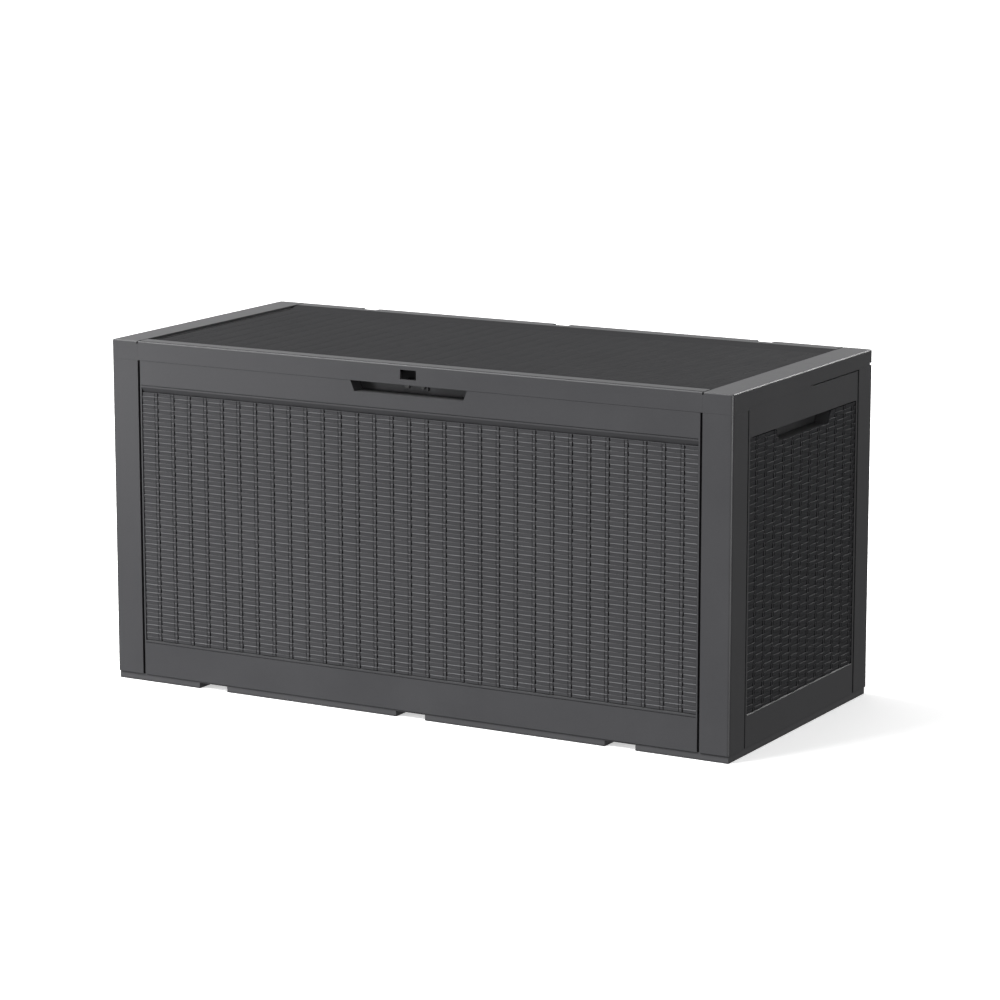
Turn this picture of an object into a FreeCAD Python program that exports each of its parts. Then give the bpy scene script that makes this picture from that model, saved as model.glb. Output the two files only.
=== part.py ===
"""Resin deck storage box: posts, wall panels, floor, hinged lid, stays and padlock tab.

Frame: origin at the bottom centre, +X right along the box, +Y to the rear, +Z up, millimetres.
The lid turns about an axis along X near the top of the rear wall.
"""
import FreeCAD, Part

import math
import os

import Sketcher

DOC = FreeCAD.newDocument("deck_box")
SHEET = DOC.addObject("Spreadsheet::Sheet", "Sizes")

SIZES = {
    # overall
    "box_length": 1200, "box_width": 543, "box_height": 605,
    # moulded walls
    "panel_thickness": 9, "field_depth": 4, "panel_inset": 0.4, "skin": 4, "edge_round": 2.5,
    "post_round": 5, "frame_groove_width": 1.6, "frame_groove_depth": 0.9, "frame_groove_gap": 2.5,
    # corner posts
    "post_face_front": 54, "post_face_side": 55.3, "post_leg": 14, "shadow_gap": 4.4,
    "tongue_thickness": 3, "tongue_length": 20, "tongue_clearance": 0.3, "slot_depth": 24,
    # floor
    "base_height": 13, "base_inset": 2.8, "deck_thickness": 3, "base_wall": 4,
    "notch_width": 57, "notch_pitch": 400, "sill_width": 54,
    # body and lid meet here
    "lid_height": 33.5, "side_rise": 4.2, "rear_rise": 6.3, "seam_gap": 0.15,
    "lip_height": 16.5, "lip_thickness": 4,
    # woven fields
    "front_field_low": 76, "front_band": 55.5, "front_bevel": 9, "front_low_bevel": 2,
    "front_field_margin": 2.6,
    "side_field_low": 69, "side_band": 47.5, "side_bevel": 2, "side_field_margin": 4.9,
    # grip slot in the front wall
    "grip_half_top": 113, "grip_half_low": 105.5, "grip_height": 18.2, "grip_depth": 27,
    # hand holds in the side walls
    "hold_half_top": 106.5, "hold_half_low": 96.3, "hold_height": 21.4, "hold_depth": 27,
    # lid
    "rail_width": 30, "shoulder_run": 27, "lid_recess": 5.5, "end_rail_width": 55, "rail_seam": 0.1,
    "groove_width": 5, "groove_depth": 2.5, "seam_rebate": 2.6, "seam_rebate_depth": 4.5,
    "window_half": 15.5, "window_rise": 9, "window_height": 16.5,
    "side_gap": 1.9, "rear_skirt_gap": 4.7, "rear_relief": 10.5, "side_gap_start": 20,
    # lid stiffener tubes
    "tube_size": 20, "tube_wall": 1.5, "tube_inset": 111.5, "tube_end_inset": 45, "saddle_wall": 2,
    # hinges
    "hinge_pitch": 400, "hinge_setback": 9.5, "hinge_below": 12, "knuckle_radius": 8,
    "hinge_half": 24, "barrel_half": 15, "lid_knuckle_half": 5.4, "hinge_side_gap": 0.6,
    "hinge_notch_half": 16, "hinge_notch_depth": 15, "pin_radius": 3, "running_gap": 0.06,
    "bracket_thickness": 5,
    "bracket_height": 47.8, "bracket_screw_drop": 29.8, "screw_spread": 30, "leaf_reach": 12,
    "leaf_length": 34, "boss_side": 2,
    # screws
    "screw_radius": 2, "screw_head_radius": 4.5, "screw_head": 2.5, "screw_bite": 7,
    "leaf_screw_bite": 11, "tab_screw_bite": 6.5,
    # lid stays
    "stay_radius": 150, "stay_dip": 2, "stay_spread": 30, "lid_opening": 100,
    "arm_width": 20, "arm_thickness": 4, "arm_inset": 31, "stud_radius": 4, "stud_head_radius": 8,
    "stud_flange_radius": 12, "stud_flange": 4, "stud_head": 3, "arm_side_gap": 1.0, "slot_end_gap": 0.3,
    "ear_thickness": 5, "ear_half": 14, "ear_drop": 10, "pivot_head": 2.5, "pivot_head_radius": 6,
    # padlock tab
    "tab_half": 13, "tab_thickness": 4, "tab_rise": 7.5, "tab_gap": 1.5, "tab_plate_half": 24,
    "tab_plate_height": 35, "tab_plate_rise": 16, "tab_plate_thickness": 3,
    "tab_screw_spread": 30, "tab_screw_drop": 12,
    "padlock_hole_radius": 5, "padlock_hole_place": 6,
}


class Size:
    """A number with the sheet expression that gives it."""

    def __init__(self, value, text):
        self.value = value
        self.text = text

    @staticmethod
    def of(other):
        return other if isinstance(other, Size) else Size(float(other), repr(float(other)))

    def __add__(self, other):
        other = Size.of(other)
        return Size(self.value + other.value, "(%s + %s)" % (self.text, other.text))

    def __sub__(self, other):
        other = Size.of(other)
        return Size(self.value - other.value, "(%s - %s)" % (self.text, other.text))

    def __mul__(self, other):
        other = Size.of(other)
        return Size(self.value * other.value, "(%s * %s)" % (self.text, other.text))

    def __truediv__(self, other):
        other = Size.of(other)
        return Size(self.value / other.value, "(%s / %s)" % (self.text, other.text))

    def __radd__(self, other):
        return Size.of(other) + self

    def __rsub__(self, other):
        return Size.of(other) - self

    def __rmul__(self, other):
        return Size.of(other) * self

    def __neg__(self):
        return Size.of(-1) * self

    def cos(self):
        return Size(math.cos(math.radians(self.value)), "cos(%s)" % self.text)

    def sin(self):
        return Size(math.sin(math.radians(self.value)), "sin(%s)" % self.text)


class Sizes:
    """The driving dimensions, read by name from the sheet."""

    def __init__(self, sheet, table):
        for row, (alias, value) in enumerate(table.items(), start=1):
            sheet.set("A%d" % row, alias)
            sheet.set("B%d" % row, str(value))
            sheet.setAlias("B%d" % row, alias)
        for alias, value in table.items():
            setattr(self, alias, Size(float(value), "Sizes." + alias))


D = Sizes(SHEET, SIZES)
DOC.recompute()

NODES = []
PLANE_ROLE = {"X": "YZ_Plane", "Y": "XZ_Plane", "Z": "XY_Plane"}


def bind(thing, path, size):
    """Tie one property to the sheet."""
    thing.setExpression(path, Size.of(size).text)


def node(thing, label):
    """Register one finished sub-part under its own name."""
    thing.Label = label
    NODES.append(thing)
    return thing


# ---- features of a moulded piece ------------------------------------------------------------

def new_body(label):
    return node(DOC.addObject("PartDesign::Body", label), label)


def sketch_on(body, axis, height):
    """An empty sketch across axis, at the given place along it."""
    sketch = body.newObject("Sketcher::SketchObject", body.Name + "_sketch")
    origin_plane = [f for f in body.Origin.OriginFeatures if f.Role == PLANE_ROLE[axis]][0]
    sketch.AttachmentSupport = [(origin_plane, "")]
    sketch.MapMode = "FlatFace"
    offset = -height if axis == "Y" else height
    bind(sketch, ".AttachmentOffset.Base.z", offset)
    return sketch


def pin_point(sketch, edge, end, place):
    """Hold one end of an edge at sheet-driven coordinates."""
    for kind, coordinate in zip(("DistanceX", "DistanceY"), place):
        coordinate = Size.of(coordinate)
        rule = Sketcher.Constraint(kind, -1, 1, edge, end, coordinate.value)
        index = sketch.addConstraint(rule)
        bind(sketch, "Constraints[%d]" % index, coordinate)


def outline(sketch, points):
    """A closed polygon whose corners follow the sheet."""
    places = [(Size.of(u), Size.of(v)) for u, v in points]
    first = sketch.GeometryCount
    count = len(places)
    for i, (u, v) in enumerate(places):
        u_next, v_next = places[(i + 1) % count]
        start = FreeCAD.Vector(u.value, v.value, 0)
        end = FreeCAD.Vector(u_next.value, v_next.value, 0)
        sketch.addGeometry(Part.LineSegment(start, end), False)
    for i in range(count):
        sketch.addConstraint(Sketcher.Constraint("Coincident", first + i, 2, first + (i + 1) % count, 1))
    for i, place in enumerate(places):
        pin_point(sketch, first + i, 1, place)


def ring(sketch, centre, radius):
    """A circle whose centre and radius follow the sheet."""
    u, v = (Size.of(c) for c in centre)
    middle = FreeCAD.Vector(u.value, v.value, 0)
    up = FreeCAD.Vector(0, 0, 1)
    edge = sketch.addGeometry(Part.Circle(middle, up, radius.value), False)
    pin_point(sketch, edge, 3, (u, v))
    index = sketch.addConstraint(Sketcher.Constraint("Radius", edge, radius.value))
    bind(sketch, "Constraints[%d]" % index, radius)


def rectangle(low_u, high_u, low_v, high_v):
    return [(low_u, low_v), (high_u, low_v), (high_u, high_v), (low_u, high_v)]


def add(body, axis, low, high, outlines):
    """Pad one or more outlines from low to high along axis."""
    sketch = sketch_on(body, axis, high if axis == "Y" else low)
    for points in outlines:
        outline(sketch, points)
    pad = body.newObject("PartDesign::Pad", body.Name + "_pad")
    pad.Profile = sketch
    bind(pad, "Length", high - low)
    return pad


def take(body, axis, low, high, outlines=(), circles=()):
    """Pocket outlines and circles from low to high along axis."""
    sketch = sketch_on(body, axis, low if axis == "Y" else high)
    for points in outlines:
        outline(sketch, points)
    for centre, radius in circles:
        ring(sketch, centre, radius)
    pocket = body.newObject("PartDesign::Pocket", body.Name + "_pocket")
    pocket.Profile = sketch
    bind(pocket, "Length", high - low)
    return pocket


def round_edges(body, base, radius, chosen):
    """Fillet the edges of base for which chosen(bound box) is true."""
    DOC.recompute()
    names = ["Edge%d" % (i + 1) for i, edge in enumerate(base.Shape.Edges) if chosen(edge.BoundBox)]
    fillet = body.newObject("PartDesign::Fillet", body.Name + "_round")
    fillet.Base = (base, names)
    bind(fillet, "Radius", radius)
    return fillet


def at(value, target):
    return abs(value - target) < 0.01


# ---- plain turned and flat pieces -----------------------------------------------------------

def block(name, span_x, span_y, span_z):
    """A box between two places on each axis."""
    box = DOC.addObject("Part::Box", name)
    for side, letter, (low, high) in zip(("Length", "Width", "Height"), "xyz", (span_x, span_y, span_z)):
        bind(box, side, high - low)
        bind(box, ".Placement.Base." + letter, low)
    return box


TURN = {"X": FreeCAD.Rotation(FreeCAD.Vector(0, 1, 0), 90),
        "Y": FreeCAD.Rotation(FreeCAD.Vector(1, 0, 0), -90),
        "Z": FreeCAD.Rotation()}


def rod(name, axis, centre, radius, low, high):
    """A cylinder along axis from low to high, through centre on the two other axes."""
    cylinder = DOC.addObject("Part::Cylinder", name)
    bind(cylinder, "Radius", radius)
    bind(cylinder, "Height", high - low)
    cylinder.Placement = FreeCAD.Placement(FreeCAD.Vector(), TURN[axis])
    place = list(centre)
    place.insert("XYZ".index(axis), low)
    for letter, coordinate in zip("xyz", place):
        bind(cylinder, ".Placement.Base." + letter, coordinate)
    return cylinder


def fuse(name, shapes):
    joined = DOC.addObject("Part::MultiFuse", name)
    joined.Shapes = shapes
    return joined


def cut(name, base, tool):
    result = DOC.addObject("Part::Cut", name)
    result.Base = base
    result.Tool = tool
    return result


def group(label, shapes):
    """Identical pieces kept as separate solids in one node."""
    together = DOC.addObject("Part::Compound", label)
    together.Links = shapes
    return node(together, label)


def sided(sign, near, far):
    """A span from near to far on the side that sign gives."""
    return (near, far) if sign > 0 else (-far, -near)


# ---- places worked out once -----------------------------------------------------------------

HALF_X = D.box_length / 2
HALF_Y = D.box_width / 2
POST_X = HALF_X - D.post_face_front
POST_Y = HALF_Y - D.post_face_side
PANEL_X = POST_X - D.shadow_gap
PANEL_Y = POST_Y - D.shadow_gap
FACE_X = HALF_X - D.panel_inset
FACE_Y = HALF_Y - D.panel_inset
INNER_X = FACE_X - D.panel_thickness
INNER_Y = FACE_Y - D.panel_thickness
TONGUE_IN = 0.5
BODY_TOP = D.box_height - D.lid_height
SIDE_TOP = BODY_TOP + D.side_rise
REAR_TOP = BODY_TOP + D.rear_rise
SEAM_Z = BODY_TOP + D.seam_gap
REAR_SKIRT_Z = REAR_TOP + D.rear_skirt_gap
PLATE_Z = D.box_height - D.skin
FIELD_UNDER = PLATE_Z - D.lid_recess
LIP_Z = BODY_TOP + D.lip_height
FRONT_FIELD_X = PANEL_X - D.front_field_margin
FRONT_FIELD_TOP = BODY_TOP - D.front_band
SIDE_FIELD_Y = PANEL_Y - D.side_field_margin
SIDE_FIELD_TOP = BODY_TOP - D.side_band
GRIP_Z = BODY_TOP - D.grip_height
GRIP_BACK = -(FACE_Y - D.grip_depth)
HOLD_Z = SIDE_FIELD_TOP - D.hold_height
HINGE_Y = HALF_Y - D.hinge_setback
HINGE_Z = D.box_height - D.hinge_below
LEAF_HIGH = HINGE_Y - D.leaf_reach
LEAF_LOW = LEAF_HIGH - D.leaf_length
LEAF_SCREW_Y = (LEAF_LOW + LEAF_HIGH) / 2
BRACKET_SCREW_Z = REAR_TOP - D.bracket_screw_drop
TUBE_Y = HALF_Y - D.tube_inset
TUBE_X = HALF_X - D.tube_end_inset
ARM_X = HALF_X - D.arm_inset
TAB_TOP = BODY_TOP + D.tab_rise
TAB_SCREW_Z = TAB_TOP - D.tab_screw_drop
HINGE_PLACES = (("left", -D.hinge_pitch), ("centre", Size.of(0)), ("right", D.hinge_pitch))
SIDES = (("left", -1), ("right", 1))
OVER = 1.0

PIVOT_Y = HINGE_Y - D.stay_radius * D.stay_dip.cos()
PIVOT_Z = HINGE_Z - D.stay_radius * D.stay_dip.sin()
STUD_Y = HINGE_Y - D.stay_radius * (D.stay_dip + D.stay_spread).cos()
STUD_Z = HINGE_Z - D.stay_radius * (D.stay_dip + D.stay_spread).sin()
SLOT_NEAR = 2 * D.stay_radius * (D.stay_spread / 2).sin()
SLOT_FAR = 2 * D.stay_radius * ((D.stay_spread + D.lid_opening) / 2).sin()
ARM_TILT = D.stay_dip + D.stay_spread / 2 - 90


# ---- walls ----------------------------------------------------------------------------------

def long_panel(label, sign, top, front):
    """Front or rear wall: a plate with a recessed woven field and tongues for the posts."""
    body = new_body(label)
    face = sign * FACE_Y
    field = sign * (FACE_Y - D.field_depth)
    inner = sign * INNER_Y
    groove = sign * (FACE_Y - D.frame_groove_depth)
    groove_low = FRONT_FIELD_TOP + D.front_bevel + D.frame_groove_gap
    groove_high = groove_low + D.frame_groove_width
    low_groove_high = D.front_field_low - D.front_low_bevel - D.frame_groove_gap
    low_groove_low = low_groove_high - D.frame_groove_width
    profile = [(inner, D.base_height), (face, D.base_height),
               (face, low_groove_low), (groove, low_groove_low),
               (groove, low_groove_high), (face, low_groove_high),
               (face, D.front_field_low - D.front_low_bevel), (field, D.front_field_low),
               (field, FRONT_FIELD_TOP), (face, FRONT_FIELD_TOP + D.front_bevel),
               (face, groove_low), (groove, groove_low), (groove, groove_high), (face, groove_high),
               (face, top)]
    if front:
        lip = sign * (INNER_Y + D.lip_thickness)
        profile += [(lip, top), (lip, LIP_Z), (inner, LIP_Z)]
    else:
        profile += [(inner, top)]
    add(body, "X", -PANEL_X, PANEL_X, [profile])
    band = sided(sign, FACE_Y - D.field_depth - OVER, FACE_Y)
    ends = [rectangle(*sided(s, FRONT_FIELD_X, PANEL_X), D.base_height, top) for _, s in SIDES]
    add(body, "Y", *band, ends)
    tongue = sided(sign, INNER_Y + TONGUE_IN, INNER_Y + TONGUE_IN + D.tongue_thickness)
    tongues = [rectangle(*sided(s, FRONT_FIELD_X, PANEL_X + D.tongue_length), *tongue) for _, s in SIDES]
    last = add(body, "Z", D.base_height, BODY_TOP - D.skin, tongues)
    return body, last


def front_wall():
    """Front wall with the grip slot that opens under the lid skirt."""
    body, _ = long_panel("front_panel", -1, BODY_TOP, True)
    wall = D.skin
    shell = rectangle(-(D.grip_half_top + wall), D.grip_half_top + wall, GRIP_Z - wall, LIP_Z)
    add(body, "Y", -INNER_Y - OVER, GRIP_BACK + wall, [shell])
    mouth = [(-D.grip_half_low, GRIP_Z), (D.grip_half_low, GRIP_Z),
             (D.grip_half_top, BODY_TOP), (D.grip_half_top, LIP_Z + OVER),
             (-D.grip_half_top, LIP_Z + OVER), (-D.grip_half_top, BODY_TOP)]
    take(body, "Y", -FACE_Y - OVER, GRIP_BACK, [mouth])
    holes = [((s * D.tab_screw_spread / 2, TAB_SCREW_Z), D.screw_radius + D.running_gap)
             for _, s in SIDES]
    take(body, "Y", GRIP_BACK - OVER, GRIP_BACK + wall + OVER, circles=holes)


def rear_wall():
    """Rear wall, drilled for the hinge brackets."""
    body, _ = long_panel("rear_panel", 1, REAR_TOP, False)
    holes = [((place + s * D.screw_spread / 2, BRACKET_SCREW_Z), D.screw_radius + D.running_gap)
             for _, place in HINGE_PLACES for _, s in SIDES]
    take(body, "Y", INNER_Y - OVER, INNER_Y + D.screw_bite - D.bracket_thickness + OVER, circles=holes)


def side_wall(name, sign):
    """End wall with a moulded hand hold over its woven field."""
    body = new_body(name + "_side_panel")
    face = sign * FACE_X
    field = sign * (FACE_X - D.field_depth)
    inner = sign * INNER_X
    lip = sign * (INNER_X + D.lip_thickness)
    profile = [(inner, D.base_height), (face, D.base_height),
               (face, D.side_field_low - D.side_bevel), (field, D.side_field_low),
               (field, SIDE_FIELD_TOP), (face, SIDE_FIELD_TOP + D.side_bevel),
               (face, SIDE_TOP), (lip, SIDE_TOP), (lip, LIP_Z), (inner, LIP_Z)]
    add(body, "Y", -PANEL_Y, PANEL_Y, [profile])
    band = sided(sign, FACE_X - D.field_depth - OVER, FACE_X)
    ends = [rectangle(*sided(s, SIDE_FIELD_Y, PANEL_Y), D.base_height, SIDE_TOP) for _, s in SIDES]
    add(body, "X", *band, ends)
    tongue = sided(sign, INNER_X + TONGUE_IN, INNER_X + TONGUE_IN + D.tongue_thickness)
    tongues = [rectangle(*tongue, *sided(s, SIDE_FIELD_Y, PANEL_Y + D.tongue_length)) for _, s in SIDES]
    add(body, "Z", D.base_height, BODY_TOP - D.skin, tongues)
    wall = D.skin
    shell = rectangle(-(D.hold_half_top + wall), D.hold_half_top + wall, HOLD_Z - wall, SIDE_FIELD_TOP + wall)
    pocket_back = FACE_X - D.hold_depth
    add(body, "X", *sided(sign, pocket_back - wall, INNER_X + OVER), [shell])
    mouth = [(-D.hold_half_low, HOLD_Z), (D.hold_half_low, HOLD_Z),
             (D.hold_half_top, SIDE_FIELD_TOP), (-D.hold_half_top, SIDE_FIELD_TOP)]
    take(body, "X", *sided(sign, pocket_back, FACE_X + OVER), [mouth])


def corner_post(name, sign_x, sign_y, top):
    """An L-shaped post, slotted along both legs for the tongues of the walls."""
    body = new_body(name + "_post")
    corner = [(sign_x * POST_X, sign_y * HALF_Y), (sign_x * HALF_X, sign_y * HALF_Y),
              (sign_x * HALF_X, sign_y * POST_Y), (sign_x * (HALF_X - D.post_leg), sign_y * POST_Y),
              (sign_x * (HALF_X - D.post_leg), sign_y * (HALF_Y - D.post_leg)),
              (sign_x * POST_X, sign_y * (HALF_Y - D.post_leg))]
    post = add(body, "Z", D.base_height, top, [corner])
    outer_x = sign_x * HALF_X.value
    outer_y = sign_y * HALF_Y.value
    round_edges(body, post, D.post_round,
                lambda b: at(b.XMin, outer_x) and at(b.XMax, outer_x)
                and at(b.YMin, outer_y) and at(b.YMax, outer_y))
    low = TONGUE_IN - D.tongue_clearance
    high = TONGUE_IN + D.tongue_thickness + D.tongue_clearance
    slot_y = sided(sign_y, INNER_Y + low, INNER_Y + high)
    slot_x = sided(sign_x, INNER_X + low, INNER_X + high)
    slots = [rectangle(*sided(sign_x, POST_X - OVER, POST_X + D.slot_depth), *slot_y),
             rectangle(*slot_x, *sided(sign_y, POST_Y - OVER, POST_Y + D.slot_depth))]
    take(body, "Z", D.base_height - OVER, top + OVER, slots)


def floor():
    """Floor tray: a deck on a low skirt, with three channels open at the front and rear."""
    body = new_body("floor_panel")
    half_x = HALF_X - D.base_inset
    half_y = HALF_Y - D.base_inset
    add(body, "Z", Size.of(0), D.base_height, [rectangle(-half_x, half_x, -half_y, half_y)])
    inside_y = half_y - D.base_wall
    inside_x = half_x - D.sill_width
    channel = D.notch_width / 2
    cells = []
    edge = -inside_x
    for centre in (-D.notch_pitch, Size.of(0), D.notch_pitch):
        cells.append(rectangle(edge, centre - channel - D.base_wall, -inside_y, inside_y))
        cells.append(rectangle(centre - channel, centre + channel, -(half_y + OVER), half_y + OVER))
        edge = centre + channel + D.base_wall
    cells.append(rectangle(edge, inside_x, -inside_y, inside_y))
    take(body, "Z", Size.of(-1), D.base_height - D.deck_thickness, cells)


# ---- lid ------------------------------------------------------------------------------------

def lid_middle():
    """The middle of the lid: front and rear rails, sloped shoulders and a recessed field."""
    body = new_body("lid_panel")
    half = HALF_X - D.end_rail_width - D.rail_seam
    rail = HALF_Y - D.rail_width
    shoulder = rail - D.shoulder_run
    top = D.box_height
    field = D.box_height - D.lid_recess
    inside = HALF_Y - D.skin
    profile = [(-HALF_Y, SEAM_Z), (-HALF_Y, top), (-rail, top), (-shoulder, field), (shoulder, field),
               (rail, top), (HALF_Y, top), (HALF_Y, REAR_SKIRT_Z), (inside, REAR_SKIRT_Z),
               (inside, PLATE_Z), (rail, PLATE_Z), (shoulder, FIELD_UNDER), (-shoulder, FIELD_UNDER),
               (-rail, PLATE_Z), (-inside, PLATE_Z), (-inside, SEAM_Z)]
    shell = add(body, "X", -half, half, [profile])
    round_edges(body, shell, D.edge_round,
                lambda b: b.XLength > half.value and at(b.ZMin, top.value) and at(b.ZMax, top.value)
                and at(abs(b.YMin), HALF_Y.value))
    walls = []
    for _, side in SIDES:
        for edge in (TUBE_Y - D.tube_size / 2 - D.saddle_wall, TUBE_Y + D.tube_size / 2):
            walls.append(rectangle(*sided(side, edge, edge + D.saddle_wall), FIELD_UNDER - D.tube_size / 2,
                                   FIELD_UNDER + OVER))
    add(body, "X", -half, half, walls)
    bosses = [rectangle(place - D.hinge_half - D.boss_side, place + D.hinge_half + D.boss_side,
                        LEAF_LOW - D.boss_side, LEAF_HIGH) for _, place in HINGE_PLACES]
    add(body, "Z", FIELD_UNDER, PLATE_Z - D.lid_recess + D.skin, bosses)
    groove_y = -(HALF_Y - D.edge_round)
    take(body, "Z", top - D.groove_depth, top + OVER,
         [rectangle(-half - OVER, half + OVER, groove_y, groove_y + D.groove_width)])
    take(body, "Y", -HALF_Y - OVER, -inside + OVER,
         [rectangle(-D.window_half, D.window_half, BODY_TOP + D.window_rise,
                    BODY_TOP + D.window_rise + D.window_height)])
    notches = [rectangle(place - D.hinge_notch_half, place + D.hinge_notch_half,
                         HALF_Y - D.hinge_notch_depth, HALF_Y + OVER) for _, place in HINGE_PLACES]
    take(body, "Z", REAR_SKIRT_Z - OVER, top + OVER, notches)
    holes = [((place + s * D.screw_spread / 2, LEAF_SCREW_Y), D.screw_radius + D.running_gap)
             for _, place in HINGE_PLACES for _, s in SIDES]
    take(body, "Z", FIELD_UNDER - OVER, FIELD_UNDER - D.bracket_thickness + D.leaf_screw_bite, circles=holes)


def lid_end(name, sign):
    """The rail across one end of the lid."""
    body = new_body(name + "_lid_end_rail")
    inner = HALF_X - D.end_rail_width
    skin = D.skin
    full_y = rectangle(*sided(sign, inner, HALF_X), -HALF_Y, HALF_Y)
    rail = add(body, "Z", SEAM_Z, D.box_height, [full_y])
    outer_x = sign * HALF_X.value
    top = D.box_height.value
    corners = round_edges(body, rail, D.post_round,
                          lambda b: at(b.XMin, outer_x) and at(b.XMax, outer_x) and at(b.YMin, b.YMax))
    round_edges(body, corners, D.edge_round,
                lambda b: at(b.ZMin, top) and at(b.ZMax, top) and not at(abs(b.XMin), inner.value)
                or at(b.ZMin, top) and at(b.YMin, b.YMax))
    rebate = rectangle(*sided(sign, inner - OVER, inner + D.seam_rebate), -HALF_Y - OVER, HALF_Y + OVER)
    take(body, "Z", D.box_height - D.seam_rebate_depth, D.box_height + OVER, [rebate])
    hollow = rectangle(*sided(sign, inner + skin, HALF_X - skin), -(HALF_Y - skin), HALF_Y - skin)
    take(body, "Z", SEAM_Z - OVER, PLATE_Z, [hollow])
    mouth = rectangle(*sided(sign, inner - OVER, inner + skin + OVER), -(HALF_Y - skin), HALF_Y - skin)
    take(body, "Z", SEAM_Z - OVER, FIELD_UNDER, [mouth])
    relief = [(-PANEL_Y - OVER, SEAM_Z - OVER), (HALF_Y + OVER, SEAM_Z - OVER),
              (HALF_Y + OVER, REAR_SKIRT_Z), (HALF_Y - D.rear_relief, REAR_SKIRT_Z),
              (HALF_Y - D.rear_relief, REAR_TOP + D.seam_gap), (POST_Y - OVER, REAR_TOP + D.seam_gap),
              (POST_Y - OVER, SIDE_TOP + D.side_gap), (D.side_gap_start, SIDE_TOP + D.side_gap),
              (D.side_gap_start, SIDE_TOP + D.seam_gap), (-PANEL_Y - OVER, SIDE_TOP + D.seam_gap)]
    take(body, "X", *sided(sign, inner - OVER, HALF_X + OVER), [relief])


def lid_tubes():
    """Square steel tubes that stiffen the lid."""
    for name, sign in (("front", -1), ("rear", 1)):
        label = name + "_lid_tube"
        span_y = sided(sign, TUBE_Y - D.tube_size / 2, TUBE_Y + D.tube_size / 2)
        bore_y = (span_y[0] + D.tube_wall, span_y[1] - D.tube_wall)
        span_z = (FIELD_UNDER - D.tube_size, FIELD_UNDER)
        bore_z = (span_z[0] + D.tube_wall, span_z[1] - D.tube_wall)
        outer = block(label + "_outer", (-TUBE_X, TUBE_X), span_y, span_z)
        bore = block(label + "_bore", (-TUBE_X - OVER, TUBE_X + OVER), bore_y, bore_z)
        node(cut(label, outer, bore), label)


# ---- hinges ---------------------------------------------------------------------------------

def screw(name, axis, sign, centre, under_head, bite):
    """A pan-head screw: sign gives the way its tip points along axis."""
    shank = rod(name + "_shank", axis, centre, D.screw_radius, *sorted_span(under_head, sign, bite))
    head = rod(name + "_head", axis, centre, D.screw_head_radius,
               *sorted_span(under_head, -sign, D.screw_head))
    return fuse(name, [shank, head])


def sorted_span(start, sign, length):
    return (start, start + length) if sign > 0 else (start - length, start)


def hinge(name, place):
    """One hinge: a bracket on the rear wall, a pin, and a leaf under the lid."""
    gap = D.lid_knuckle_half + D.hinge_side_gap
    label = name + "_hinge_bracket"
    bracket = new_body(label)
    back = INNER_Y - D.bracket_thickness
    neck = rectangle(back, HINGE_Y + D.knuckle_radius / 2, REAR_TOP, HINGE_Z)
    plate = rectangle(back, INNER_Y, REAR_TOP - D.bracket_height, REAR_TOP + OVER)
    add(bracket, "X", place - D.hinge_half, place + D.hinge_half, [plate])
    add(bracket, "X", place - D.barrel_half, place + D.barrel_half, [neck])
    DOC.recompute()
    barrel = bracket.newObject("Sketcher::SketchObject", label + "_barrel_sketch")
    plane = [f for f in bracket.Origin.OriginFeatures if f.Role == PLANE_ROLE["X"]][0]
    barrel.AttachmentSupport = [(plane, "")]
    barrel.MapMode = "FlatFace"
    bind(barrel, ".AttachmentOffset.Base.z", place - D.barrel_half)
    ring(barrel, (HINGE_Y, HINGE_Z), D.knuckle_radius)
    pad = bracket.newObject("PartDesign::Pad", label + "_barrel")
    pad.Profile = barrel
    bind(pad, "Length", 2 * D.barrel_half)
    room = rectangle(HINGE_Y - D.knuckle_radius - OVER, HALF_Y, HINGE_Z - D.knuckle_radius - OVER,
                     D.box_height)
    take(bracket, "X", place - gap, place + gap, [room])
    take(bracket, "X", place - D.barrel_half - OVER, place + D.barrel_half + OVER,
         circles=[((HINGE_Y, HINGE_Z), D.pin_radius + D.running_gap)])
    holes = [((place + s * D.screw_spread / 2, BRACKET_SCREW_Z), D.screw_radius + D.running_gap)
             for _, s in SIDES]
    take(bracket, "Y", back - OVER, INNER_Y + OVER, circles=holes)

    node(rod(name + "_hinge_pin", "X", (HINGE_Y, HINGE_Z), D.pin_radius,
             place - D.barrel_half, place + D.barrel_half), name + "_hinge_pin")

    label = name + "_hinge_leaf"
    knuckle = rod(label + "_knuckle", "X", (HINGE_Y, HINGE_Z), D.knuckle_radius - D.hinge_side_gap,
                  place - D.lid_knuckle_half, place + D.lid_knuckle_half)
    neck = block(label + "_neck", (place - D.lid_knuckle_half, place + D.lid_knuckle_half),
                 (LEAF_HIGH - OVER, HINGE_Y), (FIELD_UNDER - D.bracket_thickness, FIELD_UNDER))
    leaf = block(label + "_plate", (place - D.hinge_half, place + D.hinge_half),
                 (LEAF_LOW, LEAF_HIGH), (FIELD_UNDER - D.bracket_thickness, FIELD_UNDER))
    solid = fuse(label + "_solid", [knuckle, neck, leaf])
    bores = [rod(label + "_bore", "X", (HINGE_Y, HINGE_Z), D.pin_radius + D.running_gap,
                 place - D.barrel_half, place + D.barrel_half)]
    for side, s in SIDES:
        bores.append(rod(label + "_hole_" + side, "Z", (place + s * D.screw_spread / 2, LEAF_SCREW_Y),
                         D.screw_radius + D.running_gap, FIELD_UNDER - 2 * D.bracket_thickness,
                         FIELD_UNDER + OVER))
    node(cut(label, solid, fuse(label + "_bores", bores)), label)


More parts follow.
